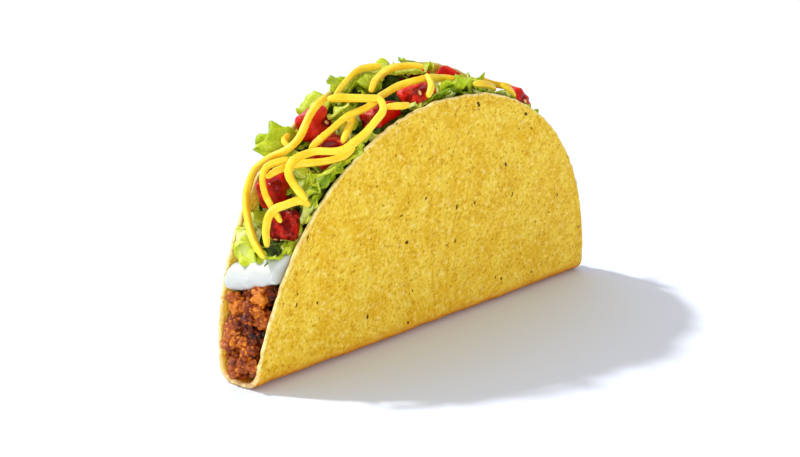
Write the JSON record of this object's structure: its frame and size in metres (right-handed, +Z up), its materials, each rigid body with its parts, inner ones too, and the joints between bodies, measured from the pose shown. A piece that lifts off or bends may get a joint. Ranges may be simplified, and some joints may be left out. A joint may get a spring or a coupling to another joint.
{
  "type": "hard-shell taco",
  "caption": "Crisp folded corn tortilla shell standing on its fold, filled with crumbled beef, sour cream, shredded lettuce, diced tomato and grated cheese.",
  "frame": {"origin": "middle of the flat strip under the fold, which the taco stands on", "axes": "+X along the fold, +Y from the low wall to the tall wall, +Z up"},
  "size_m": [0.15, 0.0258, 0.0799],
  "materials": {
    "tortilla": "matte",
    "beef": "satin",
    "cream": "satin",
    "lettuce": "satin",
    "tomato": "gloss",
    "cheese": "satin"
  },
  "bodies": {
    "root": {"shell": "tortilla", "beef": "beef", "sour_cream": "cream", "lettuce": "lettuce", "tomato_01": "tomato", "tomato_02": "tomato", "tomato_03": "tomato", "tomato_04": "tomato", "tomato_05": "tomato", "tomato_06": "tomato", "tomato_07": "tomato", "tomato_08": "tomato", "tomato_09": "tomato", "tomato_10": "tomato", "tomato_11": "tomato", "tomato_12": "tomato", "cheese_01": "cheese", "cheese_02": "cheese", "cheese_03": "cheese", "cheese_04": "cheese", "cheese_05": "cheese", "cheese_06": "cheese", "cheese_07": "cheese", "cheese_08": "cheese", "cheese_09": "cheese", "cheese_10": "cheese", "cheese_11": "cheese", "cheese_12": "cheese", "cheese_13": "cheese", "cheese_14": "cheese", "cheese_15": "cheese", "cheese_16": "cheese", "cheese_17": "cheese", "cheese_18": "cheese", "cheese_19": "cheese", "cheese_20": "cheese"}
  },
  "joints": []
}
